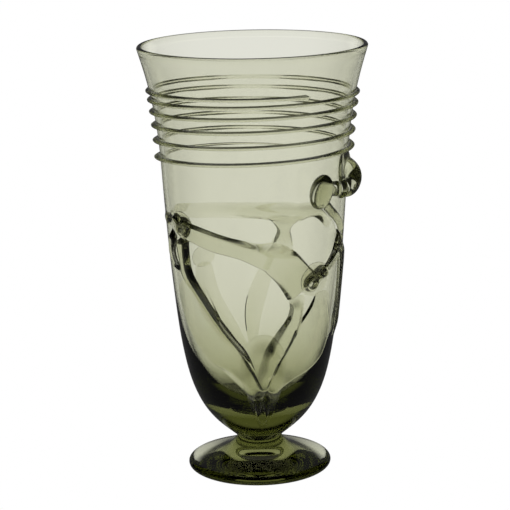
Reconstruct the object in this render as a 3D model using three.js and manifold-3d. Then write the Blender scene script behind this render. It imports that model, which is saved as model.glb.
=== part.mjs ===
// A footed drinking glass in green glass, free-blown and decorated hot: a bowl with a flared, fire-polished rim,
// a pressed foot welded under it, a spiral thread below the rim, one claw that stands proud of the wall at the
// right, and a net of thick trails laid round the lower body and pinched together at knots.
//
// Millimetres, +Z up. The origin is the centre of the foot's resting plane and the front of the glass faces -Y.
// An angle on the wall is in degrees from the front, growing towards +X. A height on the bowl is measured up from
// the neck, where the glass is narrowest, so all the hot-worked pieces move with the bowl.
import * as THREE from "three";
import { mergeVertices } from "three/addons/utils/BufferGeometryUtils.js";
import Module from "manifold-3d";

// Play left between two pieces of glass that are fused on the real one
const WELD_GAP = 0.3;

// The foot
const FOOT_DIAMETER = 63.8;
const FOOT_EDGE_THICKNESS = 4.4;
const FOOT_EDGE_ROUND = 3.3;
const FOOT_EDGE_END_ANGLE = 68;
const FOOT_WAIST_RADIUS = 12.9;
const FOOT_WAIST_HEIGHT = 10.9;
const PONTIL_DIAMETER = 17;
const PONTIL_DEPTH = 3;
const NECK_DIAMETER = 23.2;
const NECK_HEIGHT = 14.3;

// The outside of the glass above the neck: heights above the neck, and the diameter at each. The weld between
// the foot and the bowl is the lowest of them.
const WELD_HEIGHT = 2.9;
const STEM_FLARE_HEIGHT = 3.2;
const STEM_FLARE_DIAMETER = 26.6;
const SPREAD_HEIGHT = 8.2;
const SPREAD_DIAMETER = 38.2;
const CUP_HEIGHT = 14.7;
const CUP_DIAMETER = 48.3;
const SHOULDER_HEIGHT = 23.7;
const SHOULDER_DIAMETER = 57.2;
const BELLY_HEIGHT = 37.7;
const BELLY_DIAMETER = 64.8;
const BODY_HEIGHT = 73.7;
const BODY_DIAMETER = 74;
const UPPER_BODY_HEIGHT = 105.7;
const UPPER_BODY_DIAMETER = 79;
const THROAT_HEIGHT = 137.7;
const THROAT_DIAMETER = 83.5;
const FLARE_HEIGHT = 157.7;
const FLARE_DIAMETER = 90.2;
const BOWL_HEIGHT = 175.7;
const RIM_DIAMETER = 99.6;
const LIP_THICKNESS = 2.2;

// The inside of the bowl
const WALL = 1.8;
const BASE_WALL = 9;
const BASE_WALL_HEIGHT = 21.7;
const WALL_THINNING_LENGTH = 14;
const CAVITY_FLOOR = 15.4;
const CAVITY_FLOOR_ROUND = 12;

// The thread round the upper body: pitch and rise grow a little with each turn, the blob is where it starts, the
// first turn starts low, and the thread is drawn out to a thin tip over the last of its length
const THREAD_START_ANGLE = 32;
const THREAD_START_HEIGHT = 158.7;
const THREAD_START_DIP = 1.5;
const THREAD_DIP_TURNS = 0.5;
const THREAD_TURNS = 5.65;
const THREAD_PITCH = 4.0;
const THREAD_PITCH_GROWTH = 0.34;
const THREAD_LEAN = 0.65;
const THREAD_WIDTH = 2;
const THREAD_RISE = 1.3;
const THREAD_RISE_GROWTH = 0.22;
const THREAD_BLOB = 1.2;
const THREAD_BLOB_LENGTH = 0.017;
const THREAD_TIP = 0.3;
const THREAD_TAPER_SHARE = 0.083;

// How finely round shapes are divided. Rings are crowded towards the base, where the wall curves most.
const LATHE_SIDES = 48;
const OUTER_RINGS = 18;
const INNER_RINGS = 10;
const OUTER_RING_CROWDING = 1.3;
const INNER_RING_CROWDING = 1.4;
const THREAD_STEPS_PER_TURN = 40;
const LIP_STEPS = 5;
const FLOOR_STEPS = 4;
const FOOT_EDGE_STEPS = 6;
const FOOT_RISE_STEPS = 5;
const PONTIL_STEPS = 4;
const LUMP_SIDES = 16;
const LUMP_RINGS = 10;
const TRAIL_FLAT_PIECES = 5;
const TRAIL_ARC_STEPS = 3;
const THREAD_FLAT_PIECES = 2;
const THREAD_ARC_STEPS = 2;
const CLAW_ARM_ARC_STEPS = 5;
const CLAW_TAIL_ARC_STEPS = 4;
const TRAIL_STEPS = 12;
const CLAW_ARM_STEPS = 20;
const CLAW_TAIL_STEPS = 16;

// The trails' usual size, and the knots' and the claw's
const TRAIL_WIDTH = 10;
const TRAIL_THICKNESS = 2;
const KNOT_WIDTH = 15;
const KNOT_HEIGHT = 9.5;
const KNOT_THICKNESS = 2.7;
const CLAW_RADIUS = 4.2;
const CLAW_ROOT_WIDTH = 29;
const CLAW_ROOT_HEIGHT = 15;
const CLAW_REACH = 6.3;
const CLAW_DROP = 25.1;

// Places on the wall that the pieces run between, as an angle and a height. The first are where the trails are
// pinched together, and the rest are free ends.
const LEFT_KNOT = { angle: -54, height: 101.5 };
const RIGHT_KNOT = { angle: 42, height: 77.8 };
const BASE_KNOT = { angle: 4, height: 22.5 };
const BACK_KNOT = { angle: -137, height: 75.7 };
const CLAW_ROOT = { angle: 73, height: 122.5 };
const CLAW_KNUCKLE = { angle: 37, height: 117.8 };
const EDGE_KNOT = { angle: 66, height: CLAW_KNUCKLE.height - CLAW_DROP };
const BROW_END = { angle: 50, height: 106 };
const LEAF_TIP = { angle: -57, height: 78.5 };
const TONGUE_TIP = { angle: -128, height: 96 };
const SIDE_END = { angle: 80, height: 46 };
const BACK_CREST = { angle: -196, height: 82 };
const BACK_BASE = { angle: -176, height: 24 };

const radians = THREE.MathUtils.degToRad;

// Radius of the bowl's outside at a height on the bowl, smooth through the named diameters
const wallStations = [
  [0, NECK_DIAMETER],
  [STEM_FLARE_HEIGHT, STEM_FLARE_DIAMETER],
  [SPREAD_HEIGHT, SPREAD_DIAMETER],
  [CUP_HEIGHT, CUP_DIAMETER],
  [SHOULDER_HEIGHT, SHOULDER_DIAMETER],
  [BELLY_HEIGHT, BELLY_DIAMETER],
  [BODY_HEIGHT, BODY_DIAMETER],
  [UPPER_BODY_HEIGHT, UPPER_BODY_DIAMETER],
  [THROAT_HEIGHT, THROAT_DIAMETER],
  [FLARE_HEIGHT, FLARE_DIAMETER],
  [BOWL_HEIGHT - LIP_THICKNESS / 2, RIM_DIAMETER],
];
const wallSpline = new THREE.CubicInterpolant(
  wallStations.map(([height]) => height),
  wallStations.map(([, diameter]) => diameter / 2),
  1,
);

// Heights of the bowl's rings of points, from the weld to the middle of the lip
const ringHeights = Array.from({ length: OUTER_RINGS + 1 }, (unused, i) => {
  const share = (i / OUTER_RINGS) ** OUTER_RING_CROWDING;
  return WELD_HEIGHT + (BOWL_HEIGHT - LIP_THICKNESS / 2 - WELD_HEIGHT) * share;
});
const wallRings = new THREE.LinearInterpolant(
  [0, ...ringHeights],
  [0, ...ringHeights].map((height) => wallSpline.evaluate(height)[0]),
  1,
);

function wallRadius(height) {
  return wallRings.evaluate(height)[0];
}

// Radius of the cavity at a height above its round floor
function cavityRadius(height) {
  const thickening = (BASE_WALL - WALL) * Math.exp((BASE_WALL_HEIGHT - height) / WALL_THINNING_LENGTH);
  return wallSpline.evaluate(height)[0] - WALL - thickening;
}

// A point off the wall, by angle and height on the bowl and distance out from the wall's surface
function offWall(angle, height, distance) {
  const step = 0.5;
  const radius = wallRadius(height);
  const slope = (wallRadius(height + step) - wallRadius(height - step)) / (2 * step);
  const length = Math.hypot(1, slope);
  const out = radius + distance / length;
  const turn = radians(angle);
  return new THREE.Vector3(out * Math.sin(turn), -out * Math.cos(turn), height - (distance * slope) / length);
}

// Outside of the bowl from its bottom face to the lip, as radius and height, moved out by a gap
function outside(gap = 0) {
  const points = ringHeights.map((height) => new THREE.Vector2(wallRadius(height) + gap, height));
  return [new THREE.Vector2(0, WELD_HEIGHT), ...points];
}

// The whole outline of the bowl in radius and height, with the lip's bead as an arc
function bowlOutline() {
  const bead = LIP_THICKNESS / 2;
  const beadHeight = BOWL_HEIGHT - bead;
  const points = outside();
  const lip = new THREE.EllipseCurve(RIM_DIAMETER / 2 - bead, beadHeight, bead, bead, 0, Math.PI);
  points.push(...lip.getPoints(LIP_STEPS).slice(1));
  for (let i = INNER_RINGS; i >= 0; i -= 1) {
    const share = (i / INNER_RINGS) ** INNER_RING_CROWDING;
    const height = BASE_WALL_HEIGHT + (beadHeight - 2 * bead - BASE_WALL_HEIGHT) * share;
    points.push(new THREE.Vector2(cavityRadius(height), height));
  }
  const floor = new THREE.QuadraticBezierCurve(
    new THREE.Vector2(cavityRadius(BASE_WALL_HEIGHT), BASE_WALL_HEIGHT),
    new THREE.Vector2(CAVITY_FLOOR_ROUND, CAVITY_FLOOR),
    new THREE.Vector2(0, CAVITY_FLOOR),
  );
  points.push(...floor.getPoints(FLOOR_STEPS).slice(1));
  return points;
}

// A lathe turned so that its axis is +Z. The outline runs from the bottom of the axis, outside, to the top.
function turned(points, sides) {
  const lathe = new THREE.LatheGeometry(points, sides);
  lathe.rotateX(Math.PI / 2);
  return lathe;
}

const wasm = await Module();
wasm.setup();

// A closed geometry as a solid that can be joined and cut, and back
function toSolid(geometry) {
  const bare = geometry.clone();
  bare.deleteAttribute("normal");
  bare.deleteAttribute("uv");
  const merged = mergeVertices(bare, 1e-4);
  const mesh = new wasm.Mesh({
    numProp: 3,
    vertProperties: new Float32Array(merged.attributes.position.array),
    triVerts: new Uint32Array(merged.index.array),
  });
  return new wasm.Manifold(mesh);
}

function toGeometry(solid) {
  const mesh = solid.getMesh();
  const geometry = new THREE.BufferGeometry();
  geometry.setAttribute("position", new THREE.BufferAttribute(mesh.vertProperties, 3));
  geometry.setIndex(new THREE.BufferAttribute(mesh.triVerts, 1));
  geometry.computeVertexNormals();
  return geometry;
}

// A straight bar of the given section, unit length, bent point by point: place gets the share of the way along
// and the point of the section, and returns where that point goes.
function bentBar(section, steps, curveSegments, place) {
  const bar = new THREE.ExtrudeGeometry(section, { depth: 1, steps, bevelEnabled: false, curveSegments });
  const position = bar.attributes.position;
  for (let i = 0; i < position.count; i += 1) {
    const point = place(position.getZ(i), position.getX(i), position.getY(i));
    position.setXYZ(i, point.x, point.y, point.z);
  }
  return bar;
}

// Section of a trail that lies on the wall: flat below, where it meets the wall, and domed above
function domeSection(flatPieces) {
  const section = new THREE.Shape();
  section.moveTo(-1, 0);
  for (let i = 1; i <= flatPieces; i += 1) {
    section.lineTo(-1 + (2 * i) / flatPieces, 0);
  }
  section.absellipse(0, 0, 1, 1, 0, Math.PI, false);
  return section;
}

function roundSection() {
  const section = new THREE.Shape();
  section.absarc(0, 0, 1, 0, 2 * Math.PI, false);
  return section;
}

// Values between stations spaced evenly along the way
function between(stations) {
  const size = stations[0].length;
  const keys = stations.map((station, i) => i / (stations.length - 1));
  return new THREE.CubicInterpolant(keys, stations.flat(), size);
}

// The place that lies a share of the way between two places on the wall, and aside of the straight way, in mm
function placeBetween(from, to, share, aside) {
  const radius = wallRadius((from.height + to.height) / 2);
  const way = new THREE.Vector2(radians(to.angle - from.angle) * radius, to.height - from.height);
  const across = new THREE.Vector2(-way.y, way.x).normalize();
  const place = way.clone().multiplyScalar(share).addScaledVector(across, aside);
  return { angle: from.angle + THREE.MathUtils.radToDeg(place.x / radius), height: from.height + place.y };
}

// A trail laid on the wall from one place to another. Each bend is a share of the way, then how far aside and how
// wide in trail widths, and how thick in trail thicknesses.
function trail({ from, to, bends }, grow = 0) {
  const stations = bends.map(([share, aside, width, thickness]) => {
    const { angle, height } = placeBetween(from, to, share, aside * TRAIL_WIDTH);
    return [angle, height, width * TRAIL_WIDTH, thickness * TRAIL_THICKNESS];
  });
  const values = between(stations);
  const stepBack = 0.01;
  return bentBar(domeSection(TRAIL_FLAT_PIECES), TRAIL_STEPS, TRAIL_ARC_STEPS, (share, across, out) => {
    const before = Array.from(values.evaluate(Math.max(0, share - stepBack)));
    const after = Array.from(values.evaluate(Math.min(1, share + stepBack)));
    const [angle, height, width, thickness] = Array.from(values.evaluate(share));
    const radius = wallRadius(height);
    const way = new THREE.Vector2(radians(after[0] - before[0]) * radius, after[1] - before[1]).normalize();
    const side = -across * (width / 2 + grow);
    const distance = out > 0 ? WELD_GAP + out * thickness + grow : WELD_GAP - grow * 2;
    const turn = THREE.MathUtils.radToDeg((side * way.y) / radius);
    return offWall(angle + turn, height - side * way.x, distance);
  });
}

// A round-sectioned arm that leaves the wall. Each bend is a share of the way between two places, then how far
// aside in trail widths, how far out in claw reaches and how thick in claw radii.
function arm({ from, to, bends }, grow, steps, halfSides) {
  const stations = bends.map(([share, aside, out, thickness]) => {
    const { angle, height } = placeBetween(from, to, share, aside * TRAIL_WIDTH);
    return [angle, height, out * CLAW_REACH, thickness * CLAW_RADIUS];
  });
  const values = between(stations);
  const curve = new THREE.CatmullRomCurve3(stations.map(([angle, height, out]) => offWall(angle, height, out)));
  const frames = curve.computeFrenetFrames(steps, false);
  return bentBar(roundSection(), steps, halfSides, (share, across, out) => {
    const step = Math.round(share * steps);
    const radius = values.evaluate(share)[3] + grow;
    return curve
      .getPoint(share)
      .addScaledVector(frames.normals[step], across * radius)
      .addScaledVector(frames.binormals[step], out * radius);
  });
}

// A rounded lump sitting on the wall, by its size along the wall, up the wall and out from it
function lump({ angle, height }, around, tall, thickness, grow = 0, distance = 0) {
  const ball = new THREE.SphereGeometry(1, LUMP_SIDES, LUMP_RINGS);
  ball.scale(around / 2 + grow, thickness + grow, tall / 2 + grow);
  ball.rotateZ(radians(angle));
  const centre = offWall(angle, height, distance);
  ball.translate(centre.x, centre.y, centre.z);
  return ball;
}

// Solid of the bowl's outside, a weld gap larger, that clears every piece which lies on the wall
function wallClearance() {
  const points = [...outside(WELD_GAP), new THREE.Vector2(0, BOWL_HEIGHT)];
  return toSolid(turned(points, LATHE_SIDES));
}

// The blown bowl, solid at the bottom
function bowl() {
  return turned(bowlOutline(), LATHE_SIDES);
}

// The foot: a pressed disc with a round edge, drawn up to a short stem, and a pontil hollow under it
function foot() {
  const edgeRadius = FOOT_DIAMETER / 2 - FOOT_EDGE_ROUND;
  const edge = new THREE.EllipseCurve(
    edgeRadius, FOOT_EDGE_THICKNESS / 2, FOOT_EDGE_ROUND, FOOT_EDGE_THICKNESS / 2,
    -Math.PI / 2, radians(FOOT_EDGE_END_ANGLE),
  ).getPoints(FOOT_EDGE_STEPS);
  const cone = new THREE.QuadraticBezierCurve(
    edge[edge.length - 1],
    new THREE.Vector2(FOOT_WAIST_RADIUS, FOOT_WAIST_HEIGHT),
    new THREE.Vector2(NECK_DIAMETER / 2, NECK_HEIGHT),
  ).getPoints(FOOT_RISE_STEPS);
  const hollow = new THREE.EllipseCurve(
    0, 0, PONTIL_DIAMETER / 2, PONTIL_DEPTH, Math.PI / 2, 0, true,
  ).getPoints(PONTIL_STEPS);
  hollow[0].x = 0;
  const weld = WELD_HEIGHT - WELD_GAP;
  const stem = [weld / 2, weld].map((height) => new THREE.Vector2(wallRadius(height), NECK_HEIGHT + height));
  const top = new THREE.Vector2(0, NECK_HEIGHT + weld);
  return turned([...hollow, ...edge, ...cone.slice(1), ...stem, top], LATHE_SIDES);
}

// Height of the thread's centre after some turns
function threadHeight(turns, angle) {
  const lean = THREAD_LEAN * Math.cos(radians(angle));
  const dip = THREAD_START_DIP * Math.exp(-turns / THREAD_DIP_TURNS);
  return THREAD_START_HEIGHT - THREAD_PITCH * turns - THREAD_PITCH_GROWTH * turns ** 2 + lean - dip;
}

// How much thicker the thread is than usual, at its blob
function threadBlob(turns) {
  return THREAD_BLOB * Math.exp(-turns / THREAD_BLOB_LENGTH);
}

// How much of its full size the thread has, where it is drawn out at its end
function threadTaper(turns) {
  return Math.min(1, THREAD_TIP + (1 - turns / THREAD_TURNS) / THREAD_TAPER_SHARE);
}

function threadWidth(turns) {
  return THREAD_WIDTH * threadTaper(turns) * (1 + threadBlob(turns) / 2);
}

// The thread: one unbroken length wound clockwise and down, from a blob at the front to a thin end at the back
function rimThread() {
  const steps = Math.round(THREAD_TURNS * THREAD_STEPS_PER_TURN);
  return bentBar(domeSection(THREAD_FLAT_PIECES), steps, THREAD_ARC_STEPS, (share, across, out) => {
    const turns = share * THREAD_TURNS;
    const angle = THREAD_START_ANGLE - 360 * turns;
    const rise = (THREAD_RISE + THREAD_RISE_GROWTH * turns) * threadTaper(turns) * (1 + threadBlob(turns));
    const height = threadHeight(turns, angle) - (across * threadWidth(turns)) / 2;
    return offWall(angle, height, WELD_GAP + out * rise);
  });
}

// Least gap between neighbouring turns of the thread, measured between their facing edges
function threadGap() {
  let least = Infinity;
  for (let turns = 1; turns <= THREAD_TURNS; turns += 1 / THREAD_STEPS_PER_TURN) {
    const angle = THREAD_START_ANGLE - 360 * turns;
    const drop = threadHeight(turns - 1, angle) - threadHeight(turns, angle);
    least = Math.min(least, drop - (threadWidth(turns - 1) + threadWidth(turns)) / 2);
  }
  return least;
}

// The claw: a root spread on the wall, an arm that swings out and forward to a knuckle, and a tail drawn down
function clawSolid(grow = 0) {
  const root = lump(CLAW_ROOT, CLAW_ROOT_WIDTH, CLAW_ROOT_HEIGHT, CLAW_RADIUS / 2, grow);
  const swing = arm({
    from: CLAW_ROOT,
    to: CLAW_KNUCKLE,
    bends: [
      [-0.32, -0.25, -0.29, 1],
      [-0.16, 0.11, 0.35, 0.98],
      [0.06, 0.41, 0.76, 0.88],
      [0.34, 0.51, 0.95, 0.79],
      [0.61, 0.34, 1, 0.74],
      [0.81, 0.13, 0.95, 0.95],
      [0.97, 0.03, 0.79, 1],
    ],
  }, grow, CLAW_ARM_STEPS, CLAW_ARM_ARC_STEPS);
  const knuckle = lump(CLAW_KNUCKLE, CLAW_RADIUS * 2.5, CLAW_RADIUS * 3.4, CLAW_RADIUS, grow, CLAW_REACH * 0.8);
  const tail = arm({
    from: CLAW_KNUCKLE,
    to: EDGE_KNOT,
    bends: [
      [0.17, -0.12, 0.57, 0.57],
      [0.36, -0.04, 0.35, 0.48],
      [0.55, 0.13, 0.17, 0.43],
      [0.76, 0.24, 0.1, 0.43],
      [0.94, 0.18, 0.05, 0.45],
      [1.07, -0.2, 0, 0.38],
    ],
  }, grow, CLAW_TAIL_STEPS, CLAW_TAIL_ARC_STEPS);
  return [swing, knuckle, tail].reduce((whole, piece) => whole.add(toSolid(piece)), toSolid(root));
}

const clearance = wallClearance();

// A lump or an arm, cut clear of the wall it sits on
function seated(geometry) {
  return toSolid(geometry).subtract(clearance);
}

function knot(place, grow) {
  return lump(place, KNOT_WIDTH, KNOT_HEIGHT, KNOT_THICKNESS, grow);
}

const knots = {
  left_knot: (grow) => knot(LEFT_KNOT, grow),
  right_knot: (grow) => knot(RIGHT_KNOT, grow),
  base_knot: (grow) => lump(BASE_KNOT, KNOT_WIDTH * 0.7, KNOT_HEIGHT * 2.2, KNOT_THICKNESS * 0.9, grow),
  back_knot: (grow) => knot(BACK_KNOT, grow),
};

const trails = {
  upper_trail: {
    from: LEFT_KNOT,
    to: RIGHT_KNOT,
    bends: [[0.04, 0, 0.8, 1.1], [0.18, 0.02, 1, 1.1], [0.37, 0.13, 1.1, 1], [0.55, 0.24, 1.14, 0.95],
      [0.69, 0.1, 1.2, 0.9], [0.88, -0.49, 1, 0.85]],
  },
  brow_trail: {
    from: LEFT_KNOT,
    to: BROW_END,
    bends: [[-0.04, 0.32, 0.5, 0.6], [0.14, 0.89, 0.9, 0.5], [0.45, 0.94, 1, 0.6], [0.66, 0.75, 0.85, 0.7],
      [0.85, 0.47, 0.75, 0.8], [0.96, 0.12, 0.5, 0.8]],
  },
  bridge_trail: {
    from: placeBetween(LEFT_KNOT, BROW_END, 0.7, 0.34 * TRAIL_WIDTH),
    to: placeBetween(LEFT_KNOT, RIGHT_KNOT, 0.7, 0.92 * TRAIL_WIDTH),
    bends: [[0, 0, 1.3, 0.7], [0.38, 0.07, 0.59, 0.7], [0.69, 0.02, 0.8, 0.65], [1, 0, 1.7, 0.65]],
  },
  ridge_trail: {
    from: LEFT_KNOT,
    to: BASE_KNOT,
    bends: [[0.05, 0.06, 0.55, 1.3], [0.17, -0.38, 0.49, 1.3], [0.27, -0.47, 0.5, 1.3], [0.45, -0.22, 0.4, 1.2],
      [0.6, 0.08, 0.3, 1.1], [0.76, 0.29, 0.26, 1], [0.86, 0.27, 0.26, 0.9]],
  },
  left_leaf: {
    from: LEAF_TIP,
    to: BASE_KNOT,
    bends: [[0, 0, 0.35, 0.7], [0.12, -0.47, 1.1, 1], [0.28, -0.49, 1.25, 1.05], [0.47, -0.33, 1.26, 1.05],
      [0.67, -0.15, 1.2, 1], [0.9, 0, 0.6, 0.9]],
  },
  left_strand: {
    from: LEFT_KNOT,
    to: LEAF_TIP,
    bends: [[0.2, -0.57, 0.6, 0.6], [0.62, -0.88, 0.6, 0.6], [0.94, -0.21, 0.35, 0.6]],
  },
  inner_leaf: {
    from: RIGHT_KNOT,
    to: BASE_KNOT,
    bends: [[0.15, -0.35, 0.8, 0.9], [0.33, -0.13, 0.87, 1], [0.48, -0.26, 0.74, 1], [0.66, -0.42, 0.8, 1],
      [0.89, -0.34, 0.45, 0.9]],
  },
  outer_leaf: {
    from: RIGHT_KNOT,
    to: BASE_KNOT,
    bends: [[0.05, 0.37, 1.3, 0.9], [0.28, 1.37, 2.05, 0.9], [0.46, 1.32, 2.1, 0.9], [0.62, 0.89, 1.5, 0.95],
      [0.92, 0.2, 0.55, 0.9]],
  },
  edge_trail: {
    from: EDGE_KNOT,
    to: RIGHT_KNOT,
    bends: [[0.1, -0.25, 0.6, 0.8], [0.46, 0.04, 0.46, 0.75], [0.84, 0.06, 0.36, 0.75]],
  },
  side_trail: {
    from: EDGE_KNOT,
    to: SIDE_END,
    bends: [[0.06, 0.41, 0.6, 0.5], [0.34, 0.73, 0.7, 0.45], [0.72, 0.59, 0.8, 0.45], [1, 0, 0.5, 0.45]],
  },
  left_tongue: {
    from: LEFT_KNOT,
    to: TONGUE_TIP,
    bends: [[0.13, -0.17, 0.6, 0.45], [0.51, -0.18, 0.5, 0.4], [0.78, -0.18, 0.6, 0.8], [1, 0, 0.4, 0.8]],
  },
  back_fan: {
    from: BACK_KNOT,
    to: BACK_BASE,
    bends: [[0.04, 0.23, 1.3, 0.8], [0.27, 1.21, 2, 0.75], [0.44, 1.27, 2, 0.7], [0.68, 0.89, 1.5, 0.75],
      [1, 0.52, 0.6, 0.8]],
  },
  back_strand: {
    from: BACK_CREST,
    to: BACK_BASE,
    bends: [[0, 0, 0.3, 0.5], [0.26, 0.43, 0.4, 0.55], [0.52, 0.91, 0.45, 0.6], [0.73, 0.59, 0.4, 0.6],
      [0.92, 0.1, 0.3, 0.55]],
  },
};

const GLASS_COLOUR = 0x8f9a62;

function glass() {
  return new THREE.MeshStandardMaterial({ color: GLASS_COLOUR, roughness: 0.05, metalness: 0 });
}

function named(name, geometry) {
  const mesh = new THREE.Mesh(geometry, glass());
  mesh.name = name;
  return mesh;
}

// All that is laid on the wall, each piece cut by the ones laid before it
function wallPieces() {
  const laid = [{ name: "claw", solid: clawSolid().subtract(clearance), grown: clawSolid(WELD_GAP) }];
  for (const [name, build] of Object.entries(knots)) {
    laid.push({ name, solid: seated(build(0)), grown: toSolid(build(WELD_GAP)) });
  }
  for (const [name, course] of Object.entries(trails)) {
    laid.push({ name, solid: toSolid(trail(course)), grown: toSolid(trail(course, WELD_GAP)) });
  }
  return laid.map(({ name, solid }, i) => {
    const cut = laid.slice(0, i).reduce((rest, earlier) => rest.subtract(earlier.grown), solid);
    return named(name, toGeometry(cut));
  });
}

console.log(`Least gap between turns of the thread: ${threadGap().toFixed(2)} mm`);

const drinkingGlass = new THREE.Group();
drinkingGlass.add(named("foot", foot()));
const bowlGroup = new THREE.Group();
bowlGroup.position.z = NECK_HEIGHT;
bowlGroup.add(named("bowl", bowl()), named("rim_thread", rimThread()), ...wallPieces());
drinkingGlass.add(bowlGroup);

export default drinkingGlass;
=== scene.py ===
"""A footed drinking glass in olive-green forest glass: bowl, foot, spiral thread, claw and a net of trails.

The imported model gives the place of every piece. Each piece is rebuilt here with the smooth, fire-polished
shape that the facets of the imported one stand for, and is let into the wall a little, because the pieces of
the real glass are fused. All sizes that a person would measure are in millimetres, and mm() turns them to
metres.
"""

import logging
import math
from dataclasses import dataclass, field
from enum import Enum
from typing import Callable, Sequence

import bmesh
import bpy
import numpy as np
from mathutils import Euler, Matrix, Vector


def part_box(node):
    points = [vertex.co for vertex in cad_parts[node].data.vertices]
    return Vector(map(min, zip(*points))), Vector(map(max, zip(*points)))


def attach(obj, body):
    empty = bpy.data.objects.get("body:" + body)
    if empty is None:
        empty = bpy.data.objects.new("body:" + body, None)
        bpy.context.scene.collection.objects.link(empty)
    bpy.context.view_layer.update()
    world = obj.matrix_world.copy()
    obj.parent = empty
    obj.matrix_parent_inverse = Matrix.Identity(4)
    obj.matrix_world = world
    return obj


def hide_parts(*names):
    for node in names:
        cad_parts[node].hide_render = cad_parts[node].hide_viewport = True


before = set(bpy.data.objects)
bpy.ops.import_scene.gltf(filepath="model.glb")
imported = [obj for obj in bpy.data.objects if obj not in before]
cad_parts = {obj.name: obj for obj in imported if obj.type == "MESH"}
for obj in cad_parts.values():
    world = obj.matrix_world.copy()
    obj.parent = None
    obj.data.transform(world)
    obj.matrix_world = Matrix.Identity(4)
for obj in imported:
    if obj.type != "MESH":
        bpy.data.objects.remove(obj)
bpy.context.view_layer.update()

log = logging.getLogger("drinking_glass")

BODY = "root"
WHITE = "#FFFFFF"
# Degrees between two faces from which their edge stays sharp
SHARP_EDGE = 50.0
# How level the faces of a weld are, from 0 to 1
LEVEL = 0.99
# Share of a course before and after a point, between which its direction is taken
COURSE_STEP = 0.01
# Shares of a course that agree to so many digits are one ring
RING_DIGITS = 6


def mm(length: float) -> float:
    """Turn millimetres to metres."""
    return length * 0.001


def to_mm(length: float) -> float:
    """Turn metres to millimetres."""
    return length * 1000


# Points of a mesh that are nearer than this are one point
MERGED = mm(0.0005)
# How far from its height a weld's faces may be
WELD_MARGIN = mm(0.01)


def linear(colour: str) -> tuple[float, float, float, float]:
    """Turn an sRGB hex colour to linear light.

    Args:
        colour: Six hex digits after a hash sign.

    Returns:
        Red, green, blue and an alpha of one.
    """
    shares = [int(colour[i:i + 2], 16) / 255 for i in (1, 3, 5)]
    light = [share / 12.92 if share <= 0.04045 else ((share + 0.055) / 1.055) ** 2.4 for share in shares]
    return light[0], light[1], light[2], 1.0


class SmoothCurve:
    """A natural cubic spline through stations, for one or more values at once."""

    def __init__(self, keys: Sequence[float], values: Sequence) -> None:
        """Fit the spline.

        Args:
            keys: Where the stations are, growing.
            values: One value, or one row of values, at each station.
        """
        self.keys = np.asarray(keys, float)
        self.values = np.asarray(values, float)
        steps = np.diff(self.keys)
        count = len(self.keys)
        left = np.eye(count)
        right = np.zeros_like(self.values)
        for i in range(1, count - 1):
            left[i, i - 1:i + 2] = steps[i - 1], 2 * (steps[i - 1] + steps[i]), steps[i]
            rise = (self.values[i + 1] - self.values[i]) / steps[i]
            fall = (self.values[i] - self.values[i - 1]) / steps[i - 1]
            right[i] = 6 * (rise - fall)
        self.bends = np.linalg.solve(left, right)

    def at(self, key: float) -> np.ndarray:
        """Give the value at a key.

        Args:
            key: Where to look. Outside the stations the end piece goes on.

        Returns:
            The value, or the row of values.
        """
        i = int(np.clip(np.searchsorted(self.keys, key) - 1, 0, len(self.keys) - 2))
        step = self.keys[i + 1] - self.keys[i]
        before = (self.keys[i + 1] - key) / step
        after = 1 - before
        flat = before * self.values[i] + after * self.values[i + 1]
        bend = (before ** 3 - before) * self.bends[i] + (after ** 3 - after) * self.bends[i + 1]
        return flat + bend * step * step / 6


@dataclass(frozen=True)
class Place:
    """A place on the wall: degrees from the front towards +X, and millimetres above the neck."""

    angle: float
    height: float


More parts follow.
